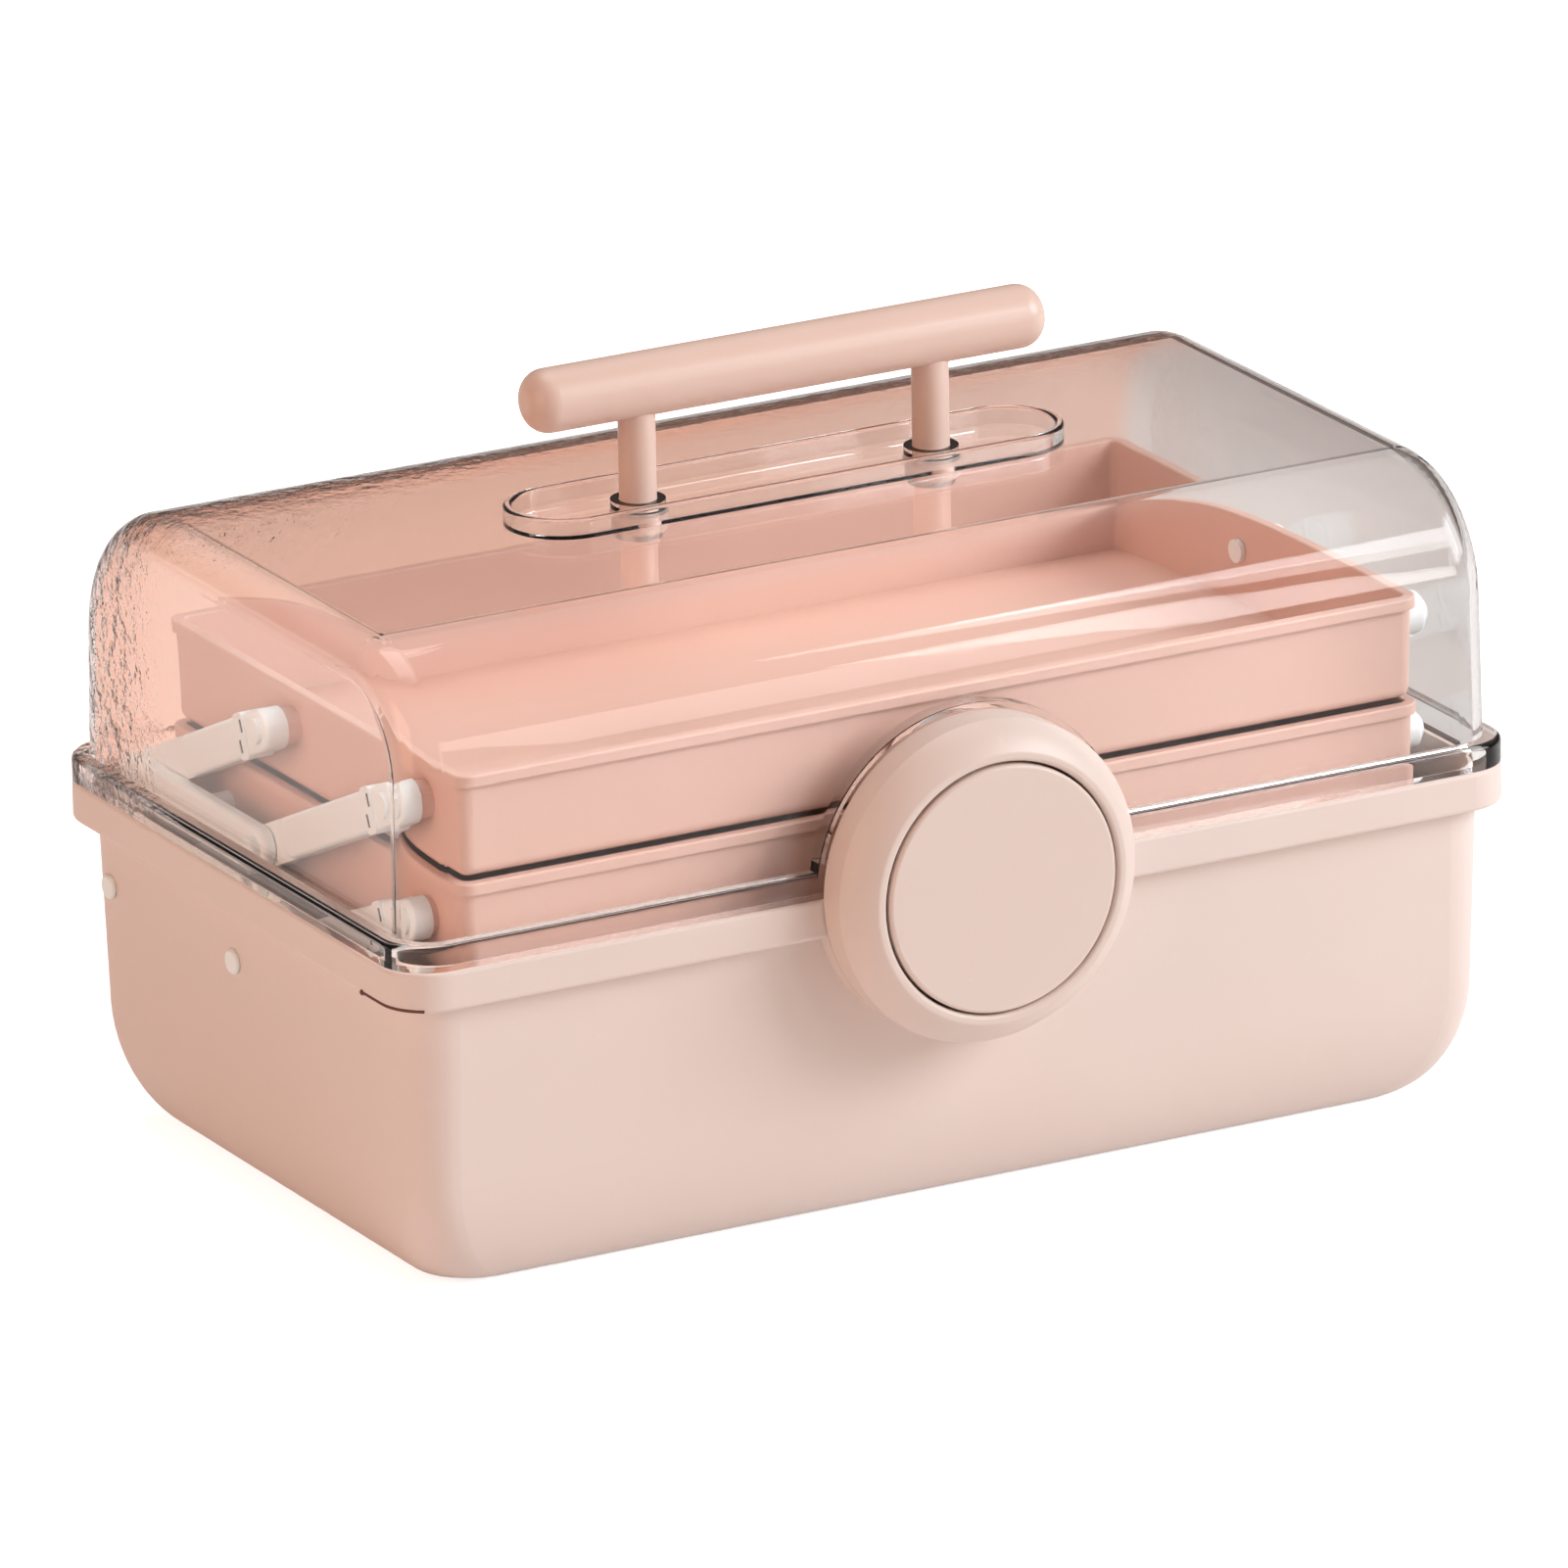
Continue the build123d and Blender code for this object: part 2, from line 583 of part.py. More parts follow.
# Pivot pins: domed heads outside, flat heads inside
with BuildPart() as base_pivot_pins:
    for side in sides:
        for pivot in (base_pivot, rear_base_pivot):
            wall_x = tub_half_length(pivot[1] + pin_head_radius) + press_gap
            rod_x(side * layer_one, side * wall_x, pivot, pivot_pin_radius)
            rod_x(side * wall_x, side * (wall_x + pin_head), pivot, pin_head_radius)
    for end in (0, -1):
        fillet(base_pivot_pins.edges().filter_by(GeomType.CIRCLE).group_by(Axis.X)[end], pin_dome_round)
save(base_pivot_pins, "base_pivot_pins")

with BuildPart() as middle_pivot_pins:
    for side in sides:
        for pivot, reach, head in ((middle_pivot, layer_one + arm_thick, pin_head),
                                   (rear_middle_pivot, carrier_face, pin_knob)):
            inner_x = tray_half_length(middle_tray_base, pivot[1] - pin_head_radius) - tray_wall - press_gap
            rod_x(side * (inner_x - pin_head), side * inner_x, pivot, pin_head_radius)
            rod_x(side * inner_x, side * reach, pivot, pivot_pin_radius)
            rod_x(side * reach, side * (reach + head), pivot, pin_head_radius)
    for end in (0, -1):
        fillet(middle_pivot_pins.edges().filter_by(GeomType.CIRCLE).group_by(Axis.X)[end], pin_dome_round)
save(middle_pivot_pins, "middle_pivot_pins")

with BuildPart() as rear_link_pins:
    for side in sides:
        rod_x(side * layer_two, side * carrier_face, carrier_pivot, pivot_pin_radius)
        rod_x(side * layer_two, side * (layer_two - pin_head), carrier_pivot, pin_head_radius)
        rod_x(side * carrier_face, side * (carrier_face + pin_head), carrier_pivot, pin_head_radius)
save(rear_link_pins, "rear_link_pins")

with BuildPart() as upper_pivot_pins:
    for side in sides:
        reach = upper_body + arm_thick
        for pivot in (upper_pivot, rear_upper_pivot):
            inner_x = tray_half_length(upper_tray_base, pivot[1] - pin_head_radius) - tray_wall - press_gap
            rod_x(side * (inner_x - pin_head), side * inner_x, pivot, pin_head_radius)
            rod_x(side * inner_x, side * reach, pivot, pivot_pin_radius)
            rod_x(side * reach, side * (reach + pin_head), pivot, pin_head_radius)
save(upper_pivot_pins, "upper_pivot_pins")

# Screws of the carrier bars, driven from inside the middle tray
with BuildPart() as carrier_screws:
    for side in sides:
        inner_x = tray_half_length(middle_tray_base, stud_place[1] - screw_head_radius) - tray_wall - press_gap
        rod_x(side * (inner_x - screw_head), side * inner_x, stud_place, screw_head_radius)
        rod_x(side * inner_x, side * layer_three, stud_place, screw_radius)
save(carrier_screws, "carrier_screws")

# Lift handle: a round bar on two posts that slide through the recess floor
with BuildPart() as handle_bar:
    rod_x(-handle_length / 2, handle_length / 2, (handle_setback, handle_axis_height), handle_radius)
    fillet(handle_bar.edges().filter_by(GeomType.CIRCLE), handle_end_round)
    for side in sides:
        with Locations((side * post_spread / 2, handle_setback, handle_axis_height)):
            Cylinder(post_radius + press_gap, 2 * handle_radius, align=(Align.CENTER, Align.CENTER, Align.MAX),
                     mode=Mode.SUBTRACT)
save(handle_bar, "handle_bar")

foot_top = recess_under - sliding_gap
foot_base = foot_top - foot_height
for side, end in zip(sides, ("left", "right")):
    centre = (side * post_spread / 2, handle_setback)
    with BuildPart() as handle_post:
        with BuildSketch(Plane.XY.offset(foot_base)):
            with Locations(centre):
                Circle(post_radius)
                Circle(screw_radius + press_gap, mode=Mode.SUBTRACT)
        extrude(amount=foot_screw_length)
        with BuildSketch(Plane.XY.offset(foot_base + foot_screw_length)):
            with Locations(centre):
                Circle(post_radius)
        extrude(amount=handle_axis_height - press_gap - foot_base - foot_screw_length)
    save(handle_post, f"handle_post_{end}")
    with BuildPart() as handle_foot:
        with BuildSketch(Plane.XY.offset(foot_base)):
            with Locations(centre):
                Circle(foot_radius)
                Circle(post_radius + press_gap, mode=Mode.SUBTRACT)
        extrude(amount=foot_height)
    save(handle_foot, f"handle_foot_{end}")

with BuildPart() as handle_screws:
    for side in sides:
        centre = (side * post_spread / 2, handle_setback)
        with BuildSketch(Plane.XY.offset(foot_base)):
            with Locations(centre):
                Circle(screw_radius)
        extrude(amount=foot_screw_length)
        with BuildSketch(Plane.XY.offset(foot_base)):
            with Locations(centre):
                Circle(foot_radius - lid_wall / 2)
        extrude(amount=-screw_head)
save(handle_screws, "handle_screws")

with BuildPart() as handle_guides:
    with BuildSketch(Plane.XY.offset(recess_floor)):
        for side in sides:
            with Locations((side * post_spread / 2, handle_setback)):
                Circle(guide_radius)
                Circle(post_radius + sliding_gap, mode=Mode.SUBTRACT)
    extrude(amount=guide_height)
save(handle_guides, "handle_guides")
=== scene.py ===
"""Looks of a three-layer storage case: satin pink tub and trays under a clear hinged lid."""
import json
import math

import bmesh
import bpy
from mathutils import Matrix, Vector


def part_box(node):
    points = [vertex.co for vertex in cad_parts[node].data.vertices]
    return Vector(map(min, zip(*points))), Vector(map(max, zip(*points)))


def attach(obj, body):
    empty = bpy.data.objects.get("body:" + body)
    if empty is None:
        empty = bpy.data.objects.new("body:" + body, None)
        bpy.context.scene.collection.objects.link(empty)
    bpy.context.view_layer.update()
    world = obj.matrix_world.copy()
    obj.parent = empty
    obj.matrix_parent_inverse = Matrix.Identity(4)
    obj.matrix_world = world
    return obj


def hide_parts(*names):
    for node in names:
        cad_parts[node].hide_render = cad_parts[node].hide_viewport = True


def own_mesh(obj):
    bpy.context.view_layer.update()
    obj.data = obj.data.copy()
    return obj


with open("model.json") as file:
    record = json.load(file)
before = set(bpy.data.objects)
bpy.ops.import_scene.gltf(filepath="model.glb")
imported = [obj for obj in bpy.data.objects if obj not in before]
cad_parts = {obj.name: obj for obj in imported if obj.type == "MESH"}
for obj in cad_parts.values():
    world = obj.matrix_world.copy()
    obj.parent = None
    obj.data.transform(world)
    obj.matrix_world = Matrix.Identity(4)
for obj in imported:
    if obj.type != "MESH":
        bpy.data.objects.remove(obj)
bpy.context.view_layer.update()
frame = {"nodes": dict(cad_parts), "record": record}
nodes = frame["nodes"]
scene = bpy.context.scene
scene.view_settings.view_transform = "Standard"
MM = 0.001
SIDES = (-1.0, 1.0)

# Colours, linear
WHITE = (1.0, 1.0, 1.0, 1.0)
TUB_PINK = (0.765, 0.645, 0.59, 1.0)
TRAY_PINK = (0.755, 0.515, 0.435, 1.0)
LATCH_PINK = (0.72, 0.595, 0.535, 1.0)
HANDLE_PINK = (0.74, 0.545, 0.465, 1.0)
ARM_WHITE = (0.87, 0.94, 0.95, 1.0)
SCUFF_PALE = (0.93, 0.86, 0.82, 1.0)
STEEL_GREY = (0.56, 0.55, 0.54, 1.0)
STEEL_DULL = (0.40, 0.39, 0.37, 1.0)
CLEAR_TINT = (0.91, 0.90, 0.895, 1.0)
# Painted shade: grey tint for the lid's right end
PAINTED_SHADE_GREY = (0.74, 0.73, 0.725, 1.0)
ROSE_TINT = (0.98, 0.62, 0.49, 1.0)
# Painted shade: dark brown line along the lid's rear top edge
REAR_EDGE_SHADE = (0.07, 0.03, 0.02, 1.0)
LID_SHEEN = (0.45, 0.45, 0.45, 1.0)
LID_SHADOW = (0.96, 0.94, 0.93, 1.0)
# Painted shadow: dark red line under the rim at the front left corner
SHADOW_LINE_RED = (0.13, 0.035, 0.022, 1.0)
# Painted shade: dark bars in the arm collar slots and dark crosses in the screw heads
RECESS_SHADE_DARK = (0.045, 0.035, 0.033, 1.0)
FLOOR_WHITE = (0.92, 0.92, 0.92, 1.0)
ROOM_GLOW = (0.25, 0.18, 0.145, 1.0)
WALL_BROWN = (0.16, 0.105, 0.085, 1.0)
CEILING_PALE = (0.62, 0.58, 0.57, 1.0)

# Moulded plastic
PLASTIC_IOR = 1.49
COAT_ROUGHNESS = 0.12
DEEP_POWER = 1.10
CLOUD_SCALE, GRAIN_SCALE, SCUFF_SCALE = 18.0, 2600.0, 140.0
CLOUD_SPAN, SCUFF_SPAN = (0.35, 0.68), (0.60, 0.74)
CLOUD_SHARE, SCUFF_SHARE = 0.55, 0.16
GRAIN_ROUGH, SCUFF_ROUGH = 0.10, 0.14
CLOUD_HEIGHT = 0.6

# Clear plastic: flow marks, then where its tints and its painted shade begin and are full, in
# metres. The painted shade is a grey tint at the right end and a dark brown line along the rear top
# edge
RIPPLE_SCALE, FLOW_SCALE, SMUDGE_SCALE = 260.0, 16.0, 34.0
SMUDGE_SPAN = (0.52, 0.75)
CLEAR_ROUGH, SMUDGE_ROUGH = 0.015, 0.05
RIPPLE_HEIGHT, FLOW_HEIGHT = 5.0, 0.5
ROSE_REAR_Y = (0.030, 0.066)
ROSE_RIGHT_X, ROSE_RIGHT_SHARE = (0.10, 0.0), (0.75, 1.0)
ROSE_ENDS_X, ROSE_ENDS_SHARE = (0.1352, 0.1285), (0.12, 1.0)
# Painted shade: grey tint towards the lid's right end, short of the rear
GREY_SHADE_RIGHT_X, GREY_SHADE_FRONT_Y = (0.085, 0.130), (0.080, 0.066)
HAMMERED_LEFT_X, HAMMERED_SHARE = (-0.02, -0.11), (0.15, 1.0)
# Painted shade: dark brown line along the rear top edge, where the lid is seen edge-on
EDGE_REAR_Y, EDGE_TOP_Z, EDGE_FACING = (0.047, 0.052), (0.118, 0.130), (0.70, 0.76)

# Plated steel
STREAK_STRETCH = (0.15, 1.0, 1.0)
STREAK_SCALE, DULL_SCALE, DULL_SPAN = 2200.0, 260.0, (0.45, 0.72)
STEEL_ROUGH, STREAK_ROUGH = 0.22, 0.14

# Painted shadow under the rim, a dark red line at the front left corner, in millimetres and degrees
SHADOW_LINE_CENTRE, SHADOW_LINE_BEND, SHADOW_LINE_SWEEP = (-128.5, -72.5, 70.4), 11.3, 58.0
SHADOW_LINE_RADIUS, SHADOW_LINE_RUN, SHADOW_LINE_DOT = 0.42, 9.0, 0.75

# Arm collars, in millimetres: body, low pivot and high pivot as Y and Z, X of the collar's face
COLLARS = (
    ("lower_front_arms", (7.0, 56.0), (-58.0, 83.0), 127.0),
    ("upper_front_arms", (2.0, 83.0), (-57.0, 109.5), 128.75),
    ("upper_rear_arms", (62.0, 83.0), (3.0, 109.5), 128.75),
)
# Painted shade in the collar slots, as dark bars: size and bevel, then distance from the high pivot,
# rise and distance out from the face, in millimetres
SLOT_SIZE, SLOT_BEVEL = (0.5, 1.12, 3.02), 0.12
SLOT_FROM_PIVOT, SLOT_RISE, SLOT_PROUD = 7.3, 2.4, 0.37

# Return spring of the latch, in millimetres
SPRING_START_Y, SPRING_AXIS_Z = -87.85, 79.0
SPRING_RADIUS, SPRING_WIRE, SPRING_LENGTH = 6.6, 0.45, 6.2
SPRING_TURNS, SPRING_STEPS = 3, 108

# Painted shade in the screw recesses, as dark crosses, in millimetres: places of the heads, then the
# two bars of a cross
LATCH_SCREW_X, LATCH_SCREW_Z = 16.3, 50.77
CARRIER_SCREW = (116.2, 35.0, 82.0)
HANDLE_SCREW_X, HANDLE_SCREW_Y = 37.0, -2.0
CROSS_BARS = {"X": (0.16, 3.0, 0.75), "Y": (3.0, 0.16, 0.75), "Z": (3.0, 0.75, 0.16)}
CROSS_ANGLES, CROSS_BEVEL = (45.0, 135.0), 0.05

# Floor and room
FLOOR_SIZE, FLOOR_Z, FLOOR_ROUGH = 6.0, -0.0002, 0.9
FLOOR_GLOW, FLOOR_MIRRORED = 0.75, 0.38
WALL_SPAN, CEILING_SPAN = (0.01, 0.10), (0.22, 0.60)

# Lamps: name, place, width, height, power, colour
LAMP_AIM = (0.0, 0.0, 0.08)
LAMPS = (
    ("key_right", (1.73, -1.27, 1.17), 1.25, 1.25, 45.5, (0.95, 1.0, 1.04)),
    ("fill_left", (-1.77, -0.33, 0.55), 1.2, 1.2, 13.0, (1.0, 0.62, 0.47)),
    ("top_soft", (0.1, 0.5, 1.9), 1.2, 1.2, 11.5, (0.98, 0.99, 1.0)),
    ("strip_wide", (1.10, -2.13, 0.73), 0.32, 0.8, 2.6, (1.0, 1.0, 1.0)),
    ("strip_right", (1.21, -2.10, 0.76), 0.12, 0.9, 2.2, (1.0, 1.0, 1.0)),
    ("strip_high", (1.21, -1.73, 1.47), 0.12, 0.6, 1.4, (1.0, 1.0, 1.0)),
)

# Camera: fitted direction, roll in degrees, target and distance, and the lens in pixels
VIEW_BACK, VIEW_ROLL = (-0.4522, -0.8335, 0.3173), -1.05
VIEW_TARGET, VIEW_DISTANCE = (0.0, 0.0, 75.0 * MM), 4.359
PHOTO_PIXELS, FOCAL_PIXELS = 1601.0, 20001.0
SHIFT_PIXELS_X, SHIFT_PIXELS_Y = -2.53, 0.85
SENSOR_WIDTH = 36.0

COLOUR, NUMBER = "NodeSocketColor", "NodeSocketFloat"
SKIN_OUTPUTS = (("Colour", COLOUR), ("Roughness", NUMBER), ("Height", NUMBER))


class Sheet:
    """A node tree with short calls to add nodes and join them."""

    def __init__(self, tree):
        self.tree = tree

    def add(self, kind, **values):
        node = self.tree.nodes.new(kind)
        for key, value in values.items():
            setattr(node, key, value)
        return node

    def find(self, kind):
        return next(n for n in self.tree.nodes if n.type == kind)

    def join(self, source, target):
        self.tree.links.new(source, target)

    def feed(self, socket, value):
        """Joins a socket to an input, or sets the input to a plain value."""
        if isinstance(value, bpy.types.NodeSocket):
            self.join(value, socket)
        else:
            socket.default_value = value

    def place(self, kind="Object"):
        return self.add("ShaderNodeTexCoord").outputs[kind]

    def axes(self, vector):
        node = self.add("ShaderNodeSeparateXYZ")
        self.join(vector, node.inputs[0])
        return node.outputs

    def math(self, operation, first, second=0.0):
        node = self.add("ShaderNodeMath", operation=operation)
        self.feed(node.inputs[0], first)
        self.feed(node.inputs[1], second)
        return node.outputs[0]

    def times(self, first, second):
        return self.math("MULTIPLY", first, second)

    def plus(self, first, second):
        return self.math("ADD", first, second)

    def spread(self, value, span, share=(0.0, 1.0)):
        """Eases from one share to the other while the value crosses the span."""
        node = self.add("ShaderNodeMapRange", interpolation_type="SMOOTHSTEP")
        self.join(value, node.inputs["Value"])
        for name, number in zip(("From Min", "From Max", "To Min", "To Max"), span + share):
            node.inputs[name].default_value = number
        return node.outputs["Result"]

    def blend(self, mask, first, second):
        node = self.add("ShaderNodeMix", data_type="RGBA")
        self.join(mask, node.inputs["Factor"])
        self.feed(node.inputs[6], first)
        self.feed(node.inputs[7], second)
        return node.outputs[2]

    def noise(self, vector, scale, detail=2.0, rough=0.5):
        node = self.add("ShaderNodeTexNoise")
        self.join(vector, node.inputs["Vector"])
        self.feed(node.inputs["Scale"], scale)
        node.inputs["Detail"].default_value = detail
        node.inputs["Roughness"].default_value = rough
        return node.outputs["Fac"]

    def ray_masks(self):
        """Camera rays, rays mirrored in or passing through a surface, and rays before a matt one."""
        rays = self.add("ShaderNodeLightPath").outputs
        mirrored = self.math("MAXIMUM", rays["Is Glossy Ray"], rays["Is Transmission Ray"])
        return rays["Is Camera Ray"], mirrored, self.math("LESS_THAN", rays["Diffuse Depth"], 0.5)


def new_group(name, inputs):
    """A shader node group with named inputs that gives colour, roughness and height."""
    group = bpy.data.node_groups.new(name, "ShaderNodeTree")
    for label, kind, value in inputs:
        socket = group.interface.new_socket(name=label, in_out="INPUT", socket_type=kind)
        socket.default_value = value
    for label, kind in SKIN_OUTPUTS:
        group.interface.new_socket(name=label, in_out="OUTPUT", socket_type=kind)
    sheet = Sheet(group)
    given, out = sheet.add("NodeGroupInput").outputs, sheet.add("NodeGroupOutput").inputs
    return group, sheet, given, out


def moulded_skin_group():
    """Satin moulded plastic: cloudy colour, a fine grain and faint handling marks."""
    group, sheet, given, out = new_group("moulded_skin", (
        ("Colour", COLOUR, TUB_PINK), ("Deep", COLOUR, TUB_PINK), ("Grain", NUMBER, GRAIN_SCALE),
        ("Satin", NUMBER, 0.4), ("Wear", NUMBER, 0.5)))
    place = sheet.place()
    cloud = sheet.spread(sheet.noise(place, CLOUD_SCALE, 3.0), CLOUD_SPAN)
    grain = sheet.noise(place, given["Grain"], 2.0, 0.6)
    scuff = sheet.spread(sheet.noise(place, SCUFF_SCALE, 5.0, 0.7), SCUFF_SPAN)
    worn = sheet.times(scuff, given["Wear"])
    tone = sheet.blend(sheet.times(cloud, CLOUD_SHARE), given["Colour"], given["Deep"])
    sheet.join(sheet.blend(sheet.times(worn, SCUFF_SHARE), tone, SCUFF_PALE), out["Colour"])
    rough = sheet.plus(given["Satin"], sheet.times(grain, GRAIN_ROUGH))
    sheet.join(sheet.plus(rough, sheet.times(worn, SCUFF_ROUGH)), out["Roughness"])
    sheet.join(sheet.plus(grain, sheet.times(cloud, CLOUD_HEIGHT)), out["Height"])
    return group


def clear_flow_group():
    """Clear plastic: slow flow waves, a hammered look at the left rear, finger marks and tints, with
    painted shade as a grey tint towards the right end.
    """
    group, sheet, given, out = new_group("clear_flow", (
        ("Clear", COLOUR, CLEAR_TINT), ("Painted grey", COLOUR, PAINTED_SHADE_GREY), ("Rose", COLOUR, ROSE_TINT)))
    place = sheet.place()
    axes = sheet.axes(place)
    across, along = axes["X"], axes["Y"]
    rear = sheet.spread(along, ROSE_REAR_Y)
    ends = sheet.spread(sheet.math("ABSOLUTE", across), ROSE_ENDS_X, ROSE_ENDS_SHARE)
    rose = sheet.times(sheet.spread(across, ROSE_RIGHT_X, ROSE_RIGHT_SHARE), ends)
    # Painted shade: the lid turns grey towards its right end, short of the rear
    right_shade_mask = sheet.times(sheet.spread(across, GREY_SHADE_RIGHT_X), sheet.spread(along, GREY_SHADE_FRONT_Y))
    grey_shaded_tint = sheet.blend(right_shade_mask, given["Clear"], given["Painted grey"])
    sheet.join(sheet.blend(sheet.times(rear, rose), grey_shaded_tint, given["Rose"]), out["Colour"])
    smudge = sheet.spread(sheet.noise(place, SMUDGE_SCALE, 4.0, 0.65), SMUDGE_SPAN)
    sheet.join(sheet.plus(CLEAR_ROUGH, sheet.times(smudge, SMUDGE_ROUGH)), out["Roughness"])
    hammered = sheet.times(rear, sheet.spread(across, HAMMERED_LEFT_X, HAMMERED_SHARE))
    ripple = sheet.times(hammered, sheet.noise(place, RIPPLE_SCALE, 3.0, 0.55))
    flow = sheet.times(sheet.noise(place, FLOW_SCALE, 2.0), FLOW_HEIGHT)
    sheet.join(sheet.plus(flow, sheet.times(ripple, RIPPLE_HEIGHT)), out["Height"])
    return group


def turned_steel_group():
    """Plated steel: fine drawn streaks and dull patches."""
    group, sheet, given, out = new_group("turned_steel", (("Colour", COLOUR, STEEL_GREY),))
    place = sheet.place()
    stretch = sheet.add("ShaderNodeMapping")
    stretch.inputs["Scale"].default_value = STREAK_STRETCH
    sheet.join(place, stretch.inputs["Vector"])
    streak = sheet.noise(stretch.outputs["Vector"], STREAK_SCALE, 3.0)
    dull = sheet.spread(sheet.noise(place, DULL_SCALE, 3.0), DULL_SPAN)
    sheet.join(sheet.blend(dull, given["Colour"], STEEL_DULL), out["Colour"])
    rough = sheet.times(sheet.plus(streak, dull), STREAK_ROUGH)
    sheet.join(sheet.plus(STEEL_ROUGH, rough), out["Roughness"])
    sheet.join(streak, out["Height"])
    return group


SKIN, FLOW, STEEL = moulded_skin_group(), clear_flow_group(), turned_steel_group()


def new_material(name, group, values, bump, distance):
    """A material with colour, roughness and bump from a group, and its shader and sheet."""
    material = bpy.data.materials.new(name)
    material.use_nodes = True
    sheet = Sheet(material.node_tree)
    shader = sheet.find("BSDF_PRINCIPLED")
    skin = sheet.add("ShaderNodeGroup", node_tree=group)
    for key, value in values.items():
        skin.inputs[key].default_value = value
    relief = sheet.add("ShaderNodeBump")
    relief.inputs["Strength"].default_value = bump
    relief.inputs["Distance"].default_value = distance
    sheet.join(skin.outputs["Height"], relief.inputs["Height"])
    sheet.join(skin.outputs["Colour"], shader.inputs["Base Color"])
    sheet.join(skin.outputs["Roughness"], shader.inputs["Roughness"])
    sheet.join(relief.outputs["Normal"], shader.inputs["Normal"])
    return material, shader, sheet


def deeper(colour):
    """A slightly deeper tone of a colour for its cloudy patches."""
    return tuple(c ** DEEP_POWER for c in colour[:3]) + (1.0,)


def plastic(name, colour, satin, wear, coat=0.0):
    """Opaque moulded plastic."""
    values = {"Colour": colour, "Deep": deeper(colour), "Satin": satin, "Wear": wear}
    material, shader, _ = new_material(name, SKIN, values, bump=0.10, distance=0.00012)
    shader.inputs["IOR"].default_value = PLASTIC_IOR
    shader.inputs["Coat Weight"].default_value = coat
    shader.inputs["Coat Roughness"].default_value = COAT_ROUGHNESS
    return material


def clear_plastic():
    """Clear lid plastic with painted shade, a dark brown line along its rear top edge where it is
    seen edge-on, which lets lamps through to what is inside.
    """
    material, shader, sheet = new_material("clear_lid_plastic", FLOW, {}, bump=0.35, distance=0.0006)
    shader.inputs["Transmission Weight"].default_value = 1.0
    shader.inputs["IOR"].default_value = PLASTIC_IOR
    shader.inputs["Specular Tint"].default_value = LID_SHEEN
    axes = sheet.axes(sheet.place())
    # Painted shade: darker brown where the rear top edge is seen edge-on
    grazing = sheet.spread(sheet.add("ShaderNodeLayerWeight").outputs["Facing"], EDGE_FACING)
    rear_top = sheet.times(sheet.spread(axes["Y"], EDGE_REAR_Y), sheet.spread(axes["Z"], EDGE_TOP_Z))
    tint = sheet.find("GROUP").outputs["Colour"]
    edge_shade_tint = sheet.blend(sheet.times(grazing, rear_top), tint, REAR_EDGE_SHADE)
    sheet.join(edge_shade_tint, shader.inputs["Base Color"])
    passing = sheet.add("ShaderNodeBsdfTransparent")
    passing.inputs["Color"].default_value = LID_SHADOW
    mixer = sheet.add("ShaderNodeMixShader")
    sheet.join(sheet.add("ShaderNodeLightPath").outputs["Is Shadow Ray"], mixer.inputs[0])
    sheet.join(shader.outputs[0], mixer.inputs[1])
    sheet.join(passing.outputs[0], mixer.inputs[2])
    sheet.join(mixer.outputs[0], sheet.find("OUTPUT_MATERIAL").inputs["Surface"])
    return material


def steel():
    """Plated steel of the pins, screws and spring."""
    material, shader, _ = new_material("plated_steel", STEEL, {}, bump=0.12, distance=0.00004)
    shader.inputs["Metallic"].default_value = 1.0
    return material


MATERIALS = {
    "tub_pink": plastic("tub_satin_pink", TUB_PINK, satin=0.40, wear=0.5),
    "tray_pink": plastic("tray_satin_pink", TRAY_PINK, satin=0.38, wear=0.3),
    "latch_pink": plastic("latch_satin_pink", LATCH_PINK, satin=0.36, wear=0.4),
    "handle_pink": plastic("handle_soft_gloss_pink", HANDLE_PINK, satin=0.32, wear=0.3, coat=0.1),
    "white_plastic": plastic("arm_white", ARM_WHITE, satin=0.36, wear=0.2),
    "clear_plastic": clear_plastic(),
    "steel": steel(),
}
for part in frame["record"]["subparts"]:
    node = nodes[part["node"]]
    node.data.materials.clear()
    node.data.materials.append(MATERIALS[part["material_slot"]])


def new_object(name, mesh, material):
    """A finished mesh as an object in the scene."""
    data = bpy.data.meshes.new(name)
    mesh.to_mesh(data)
    mesh.free()
    data.materials.append(material)
    thing = bpy.data.objects.new(name, data)
    scene.collection.objects.link(thing)
    return thing


def new_piece(name, body, material, mesh):
    """A finished mesh as a piece that rides on a body."""
    bmesh.ops.recalc_face_normals(mesh, faces=mesh.faces)
    piece = new_object(name, mesh, material)
    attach(piece, body)
    return piece


def close_ends(mesh):
    bmesh.ops.holes_fill(mesh, edges=[e for e in mesh.edges if e.is_boundary])


def soft_box(mesh, place, size, bevel):
    """Adds a box with bevelled edges, its size and bevel in millimetres."""
    scale = Matrix.Diagonal([length * MM for length in size] + [1.0])
    box = bmesh.ops.create_cube(mesh, size=1.0, matrix=place @ scale)
    edges = list(dict.fromkeys(e for v in box["verts"] for e in v.link_edges))
    bmesh.ops.bevel(mesh, geom=edges, offset=bevel * MM, offset_type="OFFSET", segments=2,
                    profile=0.5, affect="EDGES", material=-1)


